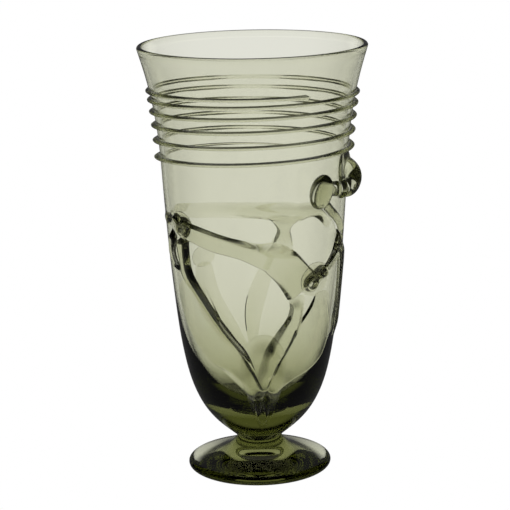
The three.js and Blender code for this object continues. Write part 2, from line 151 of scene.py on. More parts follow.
class Wall:
    """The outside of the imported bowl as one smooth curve, which all the laid-on pieces follow.

    The curve goes through the rings of points that face outwards, off the axis and below the round of the
    lip. Points whose heights agree to so many digits are one ring.
    """

    FACES_OUT: float = 0.3
    OFF_AXIS: float = mm(1)
    DIGITS: int = 5
    WELD_ABOVE_NECK: float = mm(2.9)
    LIP: float = mm(2.2)
    LIP_MARGIN: float = mm(0.1)
    SLOPE_STEP: float = mm(0.25)

    def __init__(self, bowl: bpy.types.Object) -> None:
        """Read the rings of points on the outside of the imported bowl.

        Args:
            bowl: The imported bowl.
        """
        rings: dict[float, float] = {}
        low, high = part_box("bowl")
        top = high.z - self.LIP / 2 + self.LIP_MARGIN
        for vertex in bowl.data.vertices:
            flat = Vector((vertex.co.x, vertex.co.y, 0))
            if flat.length <= self.OFF_AXIS or vertex.co.z >= top:
                continue
            if vertex.normal.dot(flat.normalized()) > self.FACES_OUT:
                rings[round(vertex.co.z, self.DIGITS)] = flat.length
        heights = sorted(rings)
        self.curve = SmoothCurve(heights, [rings[height] for height in heights])
        self.weld = low.z
        self.neck = low.z - self.WELD_ABOVE_NECK
        self.top = high.z
        log.info("wall read from %d rings, neck at %.1f mm", len(heights), to_mm(self.neck))

    def radius(self, z: float) -> float:
        """Give the radius of the outside at a height in metres above the table."""
        return float(self.curve.at(z))

    def radius_above(self, height: float) -> float:
        """Give the radius in millimetres at a height in millimetres above the neck."""
        return to_mm(self.radius(self.neck + mm(height)))

    def point(self, angle: float, height: float, out: float) -> Vector:
        """Find a point off the wall.

        Args:
            angle: Degrees from the front towards +X.
            height: Millimetres above the neck.
            out: Metres out from the wall, square to it.

        Returns:
            The point, in metres.
        """
        z = self.neck + mm(height)
        step = self.SLOPE_STEP
        slope = (self.radius(z + step) - self.radius(z - step)) / (2 * step)
        length = math.hypot(1, slope)
        radius = self.radius(z) + out / length
        turn = math.radians(angle)
        return Vector((radius * math.sin(turn), -radius * math.cos(turn), z - out * slope / length))

    def between(self, start: Place, end: Place, share: float, aside: float) -> Place:
        """Find a place part of the way between two places.

        Args:
            start: Where the way starts.
            end: Where it ends.
            share: The share of the way gone.
            aside: Millimetres to the left of the straight way.

        Returns:
            The place.
        """
        radius = self.radius_above((start.height + end.height) / 2)
        way = Vector((math.radians(end.angle - start.angle) * radius, end.height - start.height))
        across = Vector((-way.y, way.x)).normalized()
        place = way * share + across * aside
        return Place(start.angle + math.degrees(place.x / radius), start.height + place.y)


def face_outwards(mesh: bmesh.types.BMesh) -> None:
    """Turn all the faces of a closed mesh outwards, by the face that is furthest from the axis.

    Args:
        mesh: The closed mesh.
    """
    bmesh.ops.recalc_face_normals(mesh, faces=mesh.faces)
    mesh.faces.ensure_lookup_table()
    furthest = max(mesh.faces, key=lambda face: face.calc_center_median().xy.length)
    if furthest.normal.xy.dot(furthest.calc_center_median().xy) < 0:
        bmesh.ops.reverse_faces(mesh, faces=mesh.faces)


def round_end(share: float, length: float) -> float:
    """Give the width of a round end, from nought at its tip to one after its length."""
    near = min(1.0, max(0.0, share / length))
    return math.sqrt(1 - (1 - near) ** 2)


def soft_step(share: float) -> float:
    """Rise softly from nought to one."""
    share = min(1.0, max(0.0, share))
    return share * share * (3 - 2 * share)


def bezier(start: Vector, leave: Vector, arrive: Vector, end: Vector, share: float) -> Vector:
    """Find a point on a cubic curve.

    Args:
        start: Where the curve starts.
        leave: The handle that it leaves towards.
        arrive: The handle that it arrives from.
        end: Where it ends.
        share: The share of the way gone.

    Returns:
        The point.
    """
    first = start.lerp(leave, share)
    middle = leave.lerp(arrive, share)
    last = arrive.lerp(end, share)
    return first.lerp(middle, share).lerp(middle.lerp(last, share), share)


def bent_grid(steps: int, around: int, place: Callable[[float, float], Vector]) -> bmesh.types.BMesh:
    """Bend a flat grid point by point into a closed bar.

    Args:
        steps: Number of rings along the bar, less one.
        around: Number of points round each ring.
        place: Takes the share of the way along and round, and gives the point.

    Returns:
        A closed mesh whose faces point outwards.
    """
    mesh = bmesh.new()
    bmesh.ops.create_grid(mesh, x_segments=steps, y_segments=around, size=0.5)
    for vert in mesh.verts:
        vert.co = place(vert.co.x + 0.5, vert.co.y + 0.5)
    bmesh.ops.remove_doubles(mesh, verts=mesh.verts, dist=MERGED)
    bmesh.ops.holes_fill(mesh, edges=[edge for edge in mesh.edges if edge.is_boundary], sides=0)
    face_outwards(mesh)
    return mesh


def turned(profile: Sequence[tuple[float, float]], steps: int) -> bmesh.types.BMesh:
    """Turn a profile round the axis.

    Args:
        profile: Radius and height of each point, starting and ending on the axis, in metres.
        steps: Number of steps in the full turn.

    Returns:
        A closed mesh whose faces point outwards.
    """
    mesh = bmesh.new()
    verts = [mesh.verts.new((radius, 0, height)) for radius, height in profile]
    edges = [mesh.edges.new(pair) for pair in zip(verts, verts[1:])]
    bmesh.ops.spin(
        mesh, geom=verts + edges, cent=(0, 0, 0), axis=(0, 0, 1), angle=2 * math.pi, steps=steps,
        use_merge=True,
    )
    bmesh.ops.remove_doubles(mesh, verts=mesh.verts, dist=MERGED)
    face_outwards(mesh)
    return mesh


def mark_weld(mesh: bmesh.types.BMesh, height: float) -> None:
    """Mark the level faces at a height as part of a weld, where the glass on both sides is one.

    Args:
        mesh: The mesh to mark.
        height: Height of the weld, in metres.
    """
    layer = mesh.faces.layers.float.new("weld")
    for face in mesh.faces:
        level = abs(face.normal.z) > LEVEL
        face[layer] = 1.0 if level and abs(face.calc_center_median().z - height) < WELD_MARGIN else 0.0


def as_object(
    name: str, mesh: bmesh.types.BMesh, materials: Sequence[bpy.types.Material],
) -> bpy.types.Object:
    """Make a smooth-shaded object of a mesh.

    Args:
        name: Name of the piece.
        mesh: The mesh, which is used up.
        materials: Its materials.

    Returns:
        The object, linked to the scene.
    """
    data = bpy.data.meshes.new(name)
    mesh.to_mesh(data)
    mesh.free()
    data.shade_smooth()
    data.set_sharp_from_angle(angle=math.radians(SHARP_EDGE))
    for material in materials:
        data.materials.append(material)
    piece = bpy.data.objects.new(name, data)
    bpy.context.scene.collection.objects.link(piece)
    return piece


class Sum(Enum):
    """The sums that the node trees work out."""

    MULTIPLY = "MULTIPLY"
    MULTIPLY_ADD = "MULTIPLY_ADD"
    SUBTRACT = "SUBTRACT"
    MAXIMUM = "MAXIMUM"


def add_node(tree: bpy.types.NodeTree, kind: str, inputs: dict | None = None, **settings) -> bpy.types.Node:
    """Add a node with its settings and links.

    Args:
        tree: The node tree.
        kind: The node's type name.
        inputs: For each input, by name or number, a value or the output that feeds it.
        **settings: The node's own settings.

    Returns:
        The node.
    """
    node = tree.nodes.new(kind)
    for key, value in settings.items():
        setattr(node, key, value)
    for key, value in (inputs or {}).items():
        if isinstance(value, bpy.types.NodeSocket):
            tree.links.new(value, node.inputs[key])
        else:
            node.inputs[key].default_value = value
    return node


def add_sum(tree: bpy.types.NodeTree, kind: Sum, *values, clamp: bool = False) -> bpy.types.NodeSocket:
    """Add a sum of two or three values.

    Args:
        tree: The node tree.
        kind: Which sum.
        *values: Numbers, or the outputs that feed them.
        clamp: Whether the result is held between nought and one.

    Returns:
        The result.
    """
    inputs = dict(enumerate(values))
    return add_node(tree, "ShaderNodeMath", inputs, operation=kind.value, use_clamp=clamp).outputs[0]


def add_ramp(
    tree: bpy.types.NodeTree, value: bpy.types.NodeSocket, start: float, end: float, low: float, high: float,
) -> bpy.types.NodeSocket:
    """Add a soft ramp from one level to another.

    Args:
        tree: The node tree.
        value: The output that the ramp goes by.
        start: The value at which it starts.
        end: The value at which it ends.
        low: Its level at the start.
        high: Its level at the end.

    Returns:
        The level.
    """
    inputs = {"Value": value, "From Min": start, "From Max": end, "To Min": low, "To Max": high}
    return add_node(tree, "ShaderNodeMapRange", inputs, interpolation_type="SMOOTHSTEP").outputs["Result"]


@dataclass(frozen=True)
class ForestGlass:
    """Soda-lime glass with the iron of its sand left in, free-blown and fire-polished.

    The iron gives the olive tint, which deepens with the way that light goes through it. Fire-polishing
    leaves the surface smooth, and the blowing leaves slow waves in it.
    """

    name: str
    tint: str = "#B0B38F"
    tint_depth: float = mm(15)
    skin: str = "#FAFAF4"
    ior: float = 1.52
    roughness: float = 0.0
    wave_length: float = mm(22)
    wave_height: float = mm(0.05)
    fullest_density: float = 170.0
    # Painted shade: from this facing on, the skin colour darkens towards the silhouette, down to the share
    # below at the very edge
    painted_shade_start: float = 0.55
    painted_shade_level: float = 0.3

    def surface(self, tree: bpy.types.NodeTree) -> bpy.types.NodeSocket:
        """Make the surface, wavy, with painted shade that darkens its colour where it is seen edge on, and
        clear at the welds.

        Args:
            tree: The node tree to add to.

        Returns:
            The surface's output.
        """
        place = add_node(tree, "ShaderNodeTexCoord")
        waves = add_node(
            tree, "ShaderNodeTexNoise",
            {"Vector": place.outputs["Object"], "Scale": 1 / self.wave_length, "Detail": 1.0},
        )
        bump = add_node(
            tree, "ShaderNodeBump",
            {"Height": waves.outputs["Fac"], "Strength": 1.0, "Distance": self.wave_height},
        )
        slant = add_node(tree, "ShaderNodeLayerWeight", {"Blend": 0.5})
        # Painted shade: the skin colour is darkened where the glass is seen edge on
        edge = add_ramp(tree, slant.outputs["Facing"], self.painted_shade_start, 1.0, 1.0, self.painted_shade_level)
        skin = add_node(
            tree, "ShaderNodeVectorMath", {0: linear(self.skin)[:3], "Scale": edge}, operation="SCALE",
        )
        polished = add_node(
            tree, "ShaderNodeBsdfPrincipled",
            {
                "Base Color": skin.outputs["Vector"], "Roughness": self.roughness, "IOR": self.ior,
                "Transmission Weight": 1.0, "Normal": bump.outputs["Normal"],
            },
        )
        weld = add_node(tree, "ShaderNodeAttribute", attribute_name="weld")
        straight = add_node(tree, "ShaderNodeBsdfTransparent")
        fused = add_node(
            tree, "ShaderNodeMixShader",
            {0: weld.outputs["Fac"], 1: polished.outputs["BSDF"], 2: straight.outputs["BSDF"]},
        )
        return fused.outputs["Shader"]

    def body(self, tree: bpy.types.NodeTree) -> bpy.types.NodeSocket:
        """Make the tint inside the glass.

        Args:
            tree: The node tree to add to.

        Returns:
            The volume's output.
        """
        scale = self.tint_depth * self.fullest_density
        taken = [-math.log(share) / scale for share in linear(self.tint)[:3]]
        volume = add_node(
            tree, "ShaderNodeVolumeAbsorption",
            {"Color": (*(1 - share for share in taken), 1), "Density": self.fullest_density},
        )
        return volume.outputs["Volume"]

    def build(self) -> bpy.types.Material:
        """Make the material.

        Returns:
            The glass.
        """
        material = bpy.data.materials.new(self.name)
        material.use_nodes = True
        tree = material.node_tree
        tree.nodes.clear()
        inputs = {"Surface": self.surface(tree), "Volume": self.body(tree)}
        add_node(tree, "ShaderNodeOutputMaterial", inputs)
        return material


@dataclass
class Bowl:
    """The blown bowl: a thin flared wall with a fire-polished lip, solid at the bottom."""

    wall: Wall
    thickness: float = mm(1.8)
    lip: float = mm(2.35)
    base_wall: float = mm(9)
    base_wall_height: float = mm(21.7)
    thinning: float = mm(14)
    floor: float = mm(15.4)
    floor_round: float = mm(12)
    steps: int = 192
    outer_rings: int = 110
    inner_rings: int = 84
    lip_steps: int = 13
    lip_join_steps: int = 6
    floor_steps: int = 24
    crowding: float = 1.3

    def cavity(self, z: float) -> float:
        """Give the radius of the inside.

        Args:
            z: A height above the round floor of the cup, in metres.

        Returns:
            The radius, in metres.
        """
        above = z - self.wall.neck - self.base_wall_height
        thicker = (self.base_wall - self.thickness) * math.exp(-above / self.thinning)
        return self.wall.radius(z) - self.thickness - thicker

    def outside(self, lip_z: float) -> list[tuple[float, float]]:
        """Give the outline from the bottom of the axis up to the lip and over it.

        Args:
            lip_z: Height of the middle of the lip.

        Returns:
            Radius and height of each point, in metres.
        """
        bead = self.lip / 2
        bottom = self.wall.weld
        points = [(0.0, bottom)]
        for i in range(self.outer_rings + 1):
            z = bottom + (lip_z - bottom) * (i / self.outer_rings) ** self.crowding
            points.append((self.wall.radius(z), z))
        centre = self.wall.radius(lip_z) - bead
        for i in range(1, self.lip_steps):
            turn = math.pi * i / self.lip_steps
            points.append((centre + bead * math.cos(turn), lip_z + bead * math.sin(turn)))
        return points

    def inside(self, lip_z: float) -> list[tuple[float, float]]:
        """Give the outline from the inner edge of the lip down to the middle of the cup's floor.

        Args:
            lip_z: Height of the middle of the lip.

        Returns:
            Radius and height of each point, in metres.
        """
        low = self.wall.neck + self.base_wall_height
        high = lip_z - self.lip
        bottom = self.wall.neck + self.floor
        start = Vector((self.wall.radius(lip_z) - self.lip, lip_z))
        end = Vector((self.cavity(high), high))
        pull = Vector((0, (lip_z - high) / 2))
        points = []
        for i in range(self.lip_join_steps):
            point = bezier(start, start - pull, end + pull, end, i / self.lip_join_steps)
            points.append((point.x, point.y))
        for i in range(self.inner_rings, -1, -1):
            z = low + (high - low) * (i / self.inner_rings) ** self.crowding
            points.append((self.cavity(z), z))
        start = Vector((self.cavity(low), low))
        corner = Vector((self.floor_round, bottom))
        end = Vector((0, bottom))
        for i in range(1, self.floor_steps + 1):
            share = i / self.floor_steps
            point = start.lerp(corner, share).lerp(corner.lerp(end, share), share)
            points.append((max(point.x, 0.0), point.y))
        return points

    def build(self, glass: bpy.types.Material) -> bpy.types.Object:
        """Make the bowl.

        Args:
            glass: Its material.

        Returns:
            The bowl.
        """
        lip_z = self.wall.top - self.lip / 2
        mesh = turned(self.outside(lip_z) + self.inside(lip_z), self.steps)
        mark_weld(mesh, self.wall.weld)
        return as_object("bowl_glass", mesh, [glass])


@dataclass
class Foot:
    """The pressed foot: a round-edged disc drawn up to a short stem, with a pontil hollow under it."""

    wall: Wall
    edge_thickness: float = mm(4.4)
    edge_round: float = mm(3.3)
    edge_end: float = 68.0
    rise_start: Vector = field(default_factory=lambda: Vector((mm(16), mm(6.2))))
    rise_end: Vector = field(default_factory=lambda: Vector((mm(11), mm(11))))
    pontil: float = mm(17)
    pontil_depth: float = mm(3)
    weld_line: float = mm(0.03)
    steps: int = 192
    hollow_steps: int = 12
    edge_steps: int = 24
    stem_steps: int = 32
    neck_steps: int = 8

    def profile(self) -> list[tuple[float, float]]:
        """Give the outline from the hollow, round the edge and up the stem to the weld.

        Returns:
            Radius and height of each point, in metres.
        """
        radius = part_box("foot")[1].x
        centre = Vector((radius - self.edge_round, self.edge_thickness / 2))
        points = []
        for i in range(self.hollow_steps + 1):
            turn = math.pi / 2 * i / self.hollow_steps
            points.append((self.pontil / 2 * math.sin(turn), self.pontil_depth * math.cos(turn)))
        for i in range(self.edge_steps + 1):
            turn = math.radians(-90 + (self.edge_end + 90) * i / self.edge_steps)
            points.append((
                centre.x + self.edge_round * math.cos(turn),
                centre.y + self.edge_thickness / 2 * math.sin(turn),
            ))
        start = Vector(points[-1])
        end = Vector((self.wall.radius(self.wall.neck), self.wall.neck))
        for i in range(1, self.stem_steps + 1):
            point = bezier(start, self.rise_start, self.rise_end, end, i / self.stem_steps)
            points.append((point.x, point.y))
        top = self.wall.weld - self.weld_line
        for i in range(1, self.neck_steps + 1):
            z = self.wall.neck + (top - self.wall.neck) * i / self.neck_steps
            points.append((self.wall.radius(z), z))
        points.append((0.0, top))
        return points

    def build(self, glass: bpy.types.Material) -> bpy.types.Object:
        """Make the foot.

        Args:
            glass: Its material.

        Returns:
            The foot.
        """
        mesh = turned(self.profile(), self.steps)
        mark_weld(mesh, self.wall.weld - self.weld_line)
        return as_object("foot_glass", mesh, [glass])


@dataclass(frozen=True)
class Section:
    """The section of a laid-on trail, by the millimetres of its two flanks at shares of its length.

    A narrow flank stands up from the wall and shows as a dark line, and a wide one runs out softly. The left
    flank is on the left hand of the way that the trail runs.
    """

    left: Sequence[tuple[float, float]] = ((0, 1.2),)
    right: Sequence[tuple[float, float]] = ((0, 1.2),)
    top_share: float = 0.75
    around: int = 56
    steep_width: float = 1.6
    soft_width: float = 3.6
    widest: float = 1.7
    least: float = 0.01

    def rise(
        self, distance: float, widths: Sequence[tuple[float, float]], share: float, half: float,
    ) -> float:
        """Give the height of one flank.

        Args:
            distance: Millimetres in from the rim.
            widths: Shares of the way and the widths of the flank there.
            share: Share of the way along the trail.
            half: Half the width of the trail, which limits the flank.

        Returns:
            The height, from nought at the rim to one at the flank's top.
        """
        width = float(np.interp(share, [place for place, _ in widths], [width for _, width in widths]))
        softness = soft_step((width - self.steep_width) / (self.soft_width - self.steep_width))
        room = half * (1 + (self.widest - 1) * softness)
        near = min(1.0, distance / max(min(width, room), self.least))
        return (1 - (1 - near) ** 2) * (1 - softness) + soft_step(near) * softness

    def at(self, share: float, turn: float, half: float) -> tuple[float, float]:
        """Give the point at a share of the way round.

        Args:
            share: Share of the way along the trail.
            turn: Share of the way round, from zero to one.
            half: Half the width there, in millimetres.

        Returns:
            Across from -1 to 1, and out from 0 to 1, or from 0 to -1 on the side let into the wall.
        """
        if turn <= self.top_share:
            across = -math.cos(math.pi * turn / self.top_share)
            left = self.rise((1 - across) * half, self.left, share, half)
            return across, left * self.rise((1 + across) * half, self.right, share, half)
        across = math.cos(math.pi * (turn - self.top_share) / (1 - self.top_share))
        return across, across * across - 1


@dataclass
class Trail:
    """A trail laid hot on the wall.

    Bends give the share of the way, then how far aside and how wide in widths, and how thick in thicknesses.
    Fades give the share over which the start and the end run out.
    """

    name: str
    wall: Wall
    start: Place
    end: Place
    bends: Sequence[tuple[float, float, float, float]]
    section: Section = Section()
    fades: tuple[float, float] = (0.05, 0.05)
    width: float = 10.0
    thickness: float = 2.3
    let_in: float = mm(0.1)
    steps: int = 120
    tip: float = 0.04

    def course(self) -> SmoothCurve:
        """Lay out the bends on the wall.

        Returns:
            The angle, height, width and thickness along the trail.
        """
        rows = []
        for share, aside, width, thickness in self.bends:
            place = self.wall.between(self.start, self.end, share, aside * self.width)
            rows.append((place.angle, place.height, width * self.width, thickness * self.thickness))
        return SmoothCurve(np.linspace(0, 1, len(rows)), rows)

    def build(self, glass: bpy.types.Material) -> bpy.types.Object:
        """Make the trail.

        Args:
            glass: Its material.

        Returns:
            The trail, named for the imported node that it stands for.
        """
        course = self.course()
        rings: dict[float, tuple] = {}

        def ring(share: float) -> tuple:
            """Work out one ring once.

            Args:
                share: The share of the way gone.

            Returns:
                Its angle, height, half width, thickness, the wall's radius there, and the way that it runs.
            """
            if share not in rings:
                before = course.at(share - COURSE_STEP)
                after = course.at(share + COURSE_STEP)
                angle, height, width, thickness = course.at(share)
                radius = self.wall.radius_above(height)
                way = Vector((math.radians(after[0] - before[0]) * radius, after[1] - before[1]))
                fade = soft_step(share / self.fades[0]) * soft_step((1 - share) / self.fades[1])
                half = width / 2 * round_end(share, self.tip) * round_end(1 - share, self.tip)
                rings[share] = angle, height, half, mm(thickness) * fade, radius, way.normalized()
            return rings[share]

        def place(share: float, turn: float) -> Vector:
            """Put one point of the section on the wall.

            Args:
                share: The share of the way gone.
                turn: The share of the way round the section.

            Returns:
                The point.
            """
            angle, height, half, thickness, radius, way = ring(round(share, RING_DIGITS))
            across, out = self.section.at(share, turn, half)
            side = -across * half
            distance = (thickness if out > 0 else self.let_in) * out * min(1.0, half)
            angle += math.degrees(side * way.y / radius)
            return self.wall.point(angle, height - side * way.x, distance)

        return as_object(f"{self.name}_glass", bent_grid(self.steps, self.section.around, place), [glass])


@dataclass
class RimThread:
    """The thread: one unbroken length wound clockwise and down, with a blob where it was started."""

    wall: Wall
    start_angle: float = 32.0
    start_height: float = 158.7
    start_dip: float = 1.5
    dip_turns: float = 0.5
    turns: float = 5.65
    pitch: float = 4.0
    pitch_growth: float = 0.34
    lean: float = 0.65
    width: float = 2.0
    rise: float = 1.5
    rise_growth: float = 0.22
    front_sink: float = 0.2
    back_sink: float = 0.45
    flank: float = 0.9
    back_flank: float = 3.4
    back_quarter: int = 2
    blob: float = 1.2
    blob_length: float = 0.017
    tip: float = 0.3
    taper_share: float = 0.083
    end_share: float = 0.003
    let_in: float = mm(0.1)
    steps_per_turn: int = 110
    around: int = 20

    def flanks(self) -> list[tuple[float, float]]:
        """Give the flanks at each quarter turn. They are soft on the back, where the thread has sunk in.

        Returns:
            Shares of the way and the widths there, in millimetres.
        """
        first = self.start_angle / 360
        flanks = []
        for i in range(math.ceil(self.turns * 4) + 1):
            width = self.back_flank if i % 4 == self.back_quarter else self.flank
            flanks.append(((first + i / 4) / self.turns, width))
        return flanks

    def build(self, glass: bpy.types.Material) -> bpy.types.Object:
        """Make the thread.

        Args:
            glass: Its material.

        Returns:
            The thread.
        """
        section = Section(left=self.flanks(), right=self.flanks(), around=self.around)

        def place(share: float, turn: float) -> Vector:
            """Put one point of the section on the wall.

            Args:
                share: The share of the way gone.
                turn: The share of the way round the section.

            Returns:
                The point.
            """
            turns = share * self.turns
            angle = self.start_angle - 360 * turns
            blob = self.blob * math.exp(-turns / self.blob_length)
            taper = min(1.0, self.tip + (1 - share) / self.taper_share)
            taper *= round_end(share, self.end_share) * round_end(1 - share, self.end_share)
            width = self.width * taper * (1 + blob / 2)
            across, out = section.at(share, turn, width / 2)
            toward = math.cos(math.radians(angle))
            sunk = self.front_sink * max(0.0, toward) + self.back_sink * max(0.0, -toward)
            rise = (self.rise + self.rise_growth * turns) * taper * (1 + blob) * (1 - sunk)
            height = self.start_height - self.pitch * turns - self.pitch_growth * turns ** 2
            height -= self.start_dip * math.exp(-turns / self.dip_turns)
            height += self.lean * toward - across * width / 2
            return self.wall.point(angle, height, (mm(rise) if out > 0 else self.let_in) * out)

        steps = round(self.turns * self.steps_per_turn)
        return as_object("rim_thread_glass", bent_grid(steps, self.around, place), [glass])


@dataclass(frozen=True)
class Bump:
    """A rounded bump on a knot, in millimetres.

    Across and up place it from the middle of the knot, and turn is in degrees, from level towards up. The
    hollow is a share of its size.
    """

    across: float
    up: float
    length: float
    width: float
    turn: float
    height: float
    steepness: float = 1.5
    hollow: float = 0.0

    def at(self, x: float, y: float) -> float:
        """Give the height of the bump, less its hollow.

        Args:
            x: Millimetres across from the middle of the knot.
            y: Millimetres up from it.

        Returns:
            The height, in millimetres.
        """
        turn = math.radians(self.turn)
        along = (x - self.across) * math.cos(turn) + (y - self.up) * math.sin(turn)
        aside = (y - self.up) * math.cos(turn) - (x - self.across) * math.sin(turn)
        far = (2 * along / self.length) ** 2 + (2 * aside / self.width) ** 2
        dent = math.exp(-(far / self.hollow ** 2) ** self.steepness) if self.hollow else 0.0
        return self.height * (math.exp(-far ** self.steepness) - dent)


@dataclass
class Knot:
    """A lump where trails are pinched together, by its size along the wall, up it and out from it.

    The taper widens its top and narrows its foot by a share. The edge rise says how near the rim the bumps
    already have their full height.
    """

    name: str
    wall: Wall
    place: Place
    around: float
    tall: float
    thickness: float
    bumps: Sequence[Bump] = ()
    flank: float = 1.5
    taper: float = 0.0
    let_in: float = mm(0.1)
    let_in_rise: float = 3.0
    rings: int = 96
    edge_rise: float = 1.5

    def build(self, glass: bpy.types.Material) -> bpy.types.Object:
        """Make the knot as a domed patch that follows the wall, with its bumps.

        Args:
            glass: Its material.

        Returns:
            The knot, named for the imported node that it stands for.
        """
        radius = self.wall.radius_above(self.place.height)
        mesh = bmesh.new()
        bmesh.ops.create_uvsphere(mesh, u_segments=self.rings, v_segments=self.rings, radius=1.0)
        for vert in mesh.verts:
            x = vert.co.x * self.around / 2 * (1 + self.taper * vert.co.y)
            y = vert.co.y * self.tall / 2
            if vert.co.z > 0:
                dome = self.thickness * (vert.co.z * vert.co.z) ** self.flank
                edge = soft_step(vert.co.z ** 2 * self.edge_rise)
                distance = mm(dome + edge * sum(bump.at(x, y) for bump in self.bumps))
            else:
                distance = -self.let_in * soft_step(-vert.co.z * self.let_in_rise)
            angle = self.place.angle + math.degrees(x / radius)
            vert.co = self.wall.point(angle, self.place.height + y, distance)
        face_outwards(mesh)
        return as_object(f"{self.name}_glass", mesh, [glass])


@dataclass
class Claw:
    """The claw: a root spread on the wall, an arm that swings out to a knuckle, and a tail drawn down.

    Swing and tail give the share of the way, then how far aside in widths, how far out in reaches and how
    thick in radii. The sizes of the knuckle and the thicknesses of the root and the folds are in radii too.
    Folds give the angle, width and height of each.
    """

    wall: Wall
    root: Place
    knuckle: Place
    tail_end: Place
    radius: float = 4.2
    reach: float = 6.3
    width: float = 10.0
    root_width: float = 22.0
    root_height: float = 18.0
    root_thick: float = 0.14
    knuckle_size: tuple[float, float, float] = (2.5, 3.8, 1.05)
    knuckle_out: float = 0.95
    knuckle_lean: float = -18.0
    folds: Sequence[tuple[float, float, float]] = ((51.0, 3.4, 8.0), (58.0, 2.6, 6.5))
    fold_drop: float = 0.5
    fold_thick: float = 0.7
    swing: Sequence[tuple[float, float, float, float]] = (
        (-0.4, -0.05, -0.9, 0.8), (-0.16, 0, 0, 0.9), (0.06, 0.05, 0.65, 0.95), (0.22, 0.15, 0.95, 0.95),
        (0.38, 0.3, 1.05, 0.9), (0.57, 0.25, 1.05, 0.8), (0.78, 0.05, 0.95, 0.7), (0.97, 0, 0.79, 0.7),
    )
    strap_tall: float = 1.1
    strap_flat: float = 0.85
    tail: Sequence[tuple[float, float, float, float]] = (
        (0.17, -0.12, 0.57, 0.6), (0.36, -0.04, 0.42, 0.55), (0.55, 0.13, 0.27, 0.5),
        (0.76, 0.24, 0.18, 0.48), (0.94, 0.18, 0.08, 0.45), (1.07, -0.2, 0, 0.38),
    )
    let_in: float = mm(0.4)
    tip: float = 0.06
    steps: int = 60
    around: int = 28
    lump_rings: int = 24
    voxel: float = mm(0.22)
    soften_rounds: int = 32
    soften_share: float = 0.5

    def arm(
        self, start: Place, end: Place, bends: Sequence[tuple[float, float, float, float]],
        tall: float = 1.0, flat: float = 1.0,
    ) -> bmesh.types.BMesh:
        """Make a bar that leaves the wall.

        Args:
            start: Place that the bar runs from.
            end: Place that it runs to.
            bends: Share of the way, aside in widths, out in reaches and thickness in radii.
            tall: Size of the section along the wall, in thicknesses.
            flat: Its size square to the wall, in thicknesses.

        Returns:
            The closed bar.
        """
        rows = []
        for share, aside, out, thickness in bends:
            place = self.wall.between(start, end, share, aside * self.width)
            centre = self.wall.point(place.angle, place.height, mm(out * self.reach))
            rows.append((*centre, mm(thickness * self.radius)))
        course = SmoothCurve(np.linspace(0, 1, len(rows)), rows)

        def place_point(share: float, turn: float) -> Vector:
            """Put one point of the round section off the wall.

            Args:
                share: The share of the way gone.
                turn: The share of the way round the section.

            Returns:
                The point.
            """
            row = course.at(share)
            way = course.at(share + COURSE_STEP)[:3] - course.at(share - COURSE_STEP)[:3]
            along = Vector(way).normalized()
            outward = Vector((row[0], row[1], 0)).normalized()
            side = along.cross(outward).normalized()
            up = side.cross(along)
            around = 2 * math.pi * turn
            thickness = row[3] * round_end(share, self.tip) * round_end(1 - share, self.tip)
            off = side * tall * math.cos(around) + up * flat * math.sin(around)
            return Vector(row[:3]) + off * thickness

        return bent_grid(self.steps, self.around, place_point)

    def lump(
        self, place: Place, around: float, tall: float, thickness: float, out: float, lean: float = 0.0,
    ) -> bmesh.types.BMesh:
        """Make a rounded lump off the wall.

        Args:
            place: Where it is.
            around: Its width along the wall, in millimetres.
            tall: Its height, in millimetres.
            thickness: Half its depth, in millimetres.
            out: Millimetres from the wall to its middle.
            lean: Degrees that its top leans back.

        Returns:
            The closed lump.
        """
        mesh = bmesh.new()
        rings = self.lump_rings
        bmesh.ops.create_uvsphere(mesh, u_segments=2 * rings, v_segments=rings, radius=1.0)
        bmesh.ops.scale(mesh, vec=(mm(around / 2), mm(thickness), mm(tall / 2)), verts=mesh.verts)
        facing = Matrix.Rotation(math.radians(place.angle), 3, "Z")
        turn = facing @ Matrix.Rotation(math.radians(-lean), 3, "X")
        bmesh.ops.rotate(mesh, cent=(0, 0, 0), matrix=turn, verts=mesh.verts)
        bmesh.ops.translate(mesh, vec=self.wall.point(place.angle, place.height, mm(out)), verts=mesh.verts)
        return mesh

    def parts(self) -> list[bmesh.types.BMesh]:
        """Make the root, the arm, the knuckle, the tail and the folds.

        Returns:
            The closed parts, which run into each other.
        """
        knuckle_size = [self.radius * share for share in self.knuckle_size]
        parts = [
            self.lump(self.root, self.root_width, self.root_height, self.radius * self.root_thick, 0),
            self.arm(self.root, self.knuckle, self.swing, self.strap_tall, self.strap_flat),
            self.lump(self.knuckle, *knuckle_size, self.reach * self.knuckle_out, self.knuckle_lean),
            self.arm(self.knuckle, self.tail_end, self.tail),
        ]
        for angle, width, height in self.folds:
            place = Place(angle, self.knuckle.height - self.fold_drop)
            parts.append(self.lump(place, width, height, self.radius * self.fold_thick, self.reach))
        return parts

    def press_on(self, part: bmesh.types.BMesh) -> None:
        """Flatten what would be inside the wall onto it, as soft glass does.

        Args:
            part: The part to press on.
        """
        for vert in part.verts:
            least = self.wall.radius(vert.co.z) - self.let_in
            if vert.co.xy.length < least:
                vert.co.xy = vert.co.xy.normalized() * least

    def build(self, glass: bpy.types.Material) -> bpy.types.Object:
        """Make the claw of its parts, melted into one.

        Args:
            glass: Its material.

        Returns:
            The claw.
        """
        whole = bmesh.new()
        for part in self.parts():
            self.press_on(part)
            data = bpy.data.meshes.new("part")
            part.to_mesh(data)
            part.free()
            whole.from_mesh(data)
            bpy.data.meshes.remove(data)
        piece = as_object("claw_glass", whole, [glass])
        melt = piece.modifiers.new("melt", "REMESH")
        melt.mode = "VOXEL"
        melt.voxel_size = self.voxel
        melt.use_smooth_shade = True
        soften = piece.modifiers.new("soften", "SMOOTH")
        soften.iterations = self.soften_rounds
        soften.factor = self.soften_share
        return piece


